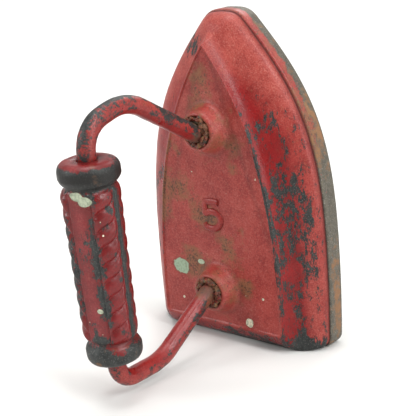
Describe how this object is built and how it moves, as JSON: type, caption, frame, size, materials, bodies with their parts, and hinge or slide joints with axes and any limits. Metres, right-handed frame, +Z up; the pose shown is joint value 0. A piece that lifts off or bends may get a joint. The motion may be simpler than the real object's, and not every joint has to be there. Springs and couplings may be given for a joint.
{
  "type": "clothes iron",
  "caption": "Cast sad iron with a bent rod handle and a two-shell grip, standing on its heel, in worn red paint.",
  "frame": {"origin": "centre of the overall box's underside, on the plane that the heel stands on", "axes": "+Z up from the heel towards the toe, +X across the width, +Y out of the ironing face; the handle stands towards -Y"},
  "size_m": [0.1198, 0.1358, 0.182],
  "materials": {
    "painted_cast_iron": "worn red paint over cast iron, bare and rusty on the edge band",
    "painted_rod": "worn red paint over a wrought rod",
    "painted_grip": "worn red paint over a patterned casting",
    "poured_metal": "rough, rusty and partly painted",
    "bare_iron": "dull, brown"
  },
  "bodies": {
    "root": {"iron_body": "painted_cast_iron", "handle_bow": "painted_rod", "grip_palm_shell": "painted_grip", "grip_finger_shell": "painted_grip", "grip_front_pin": "bare_iron", "grip_rear_pin": "bare_iron", "front_socket_fill": "poured_metal", "rear_socket_fill": "poured_metal", "front_wedge": "bare_iron"}
  },
  "joints": []
}
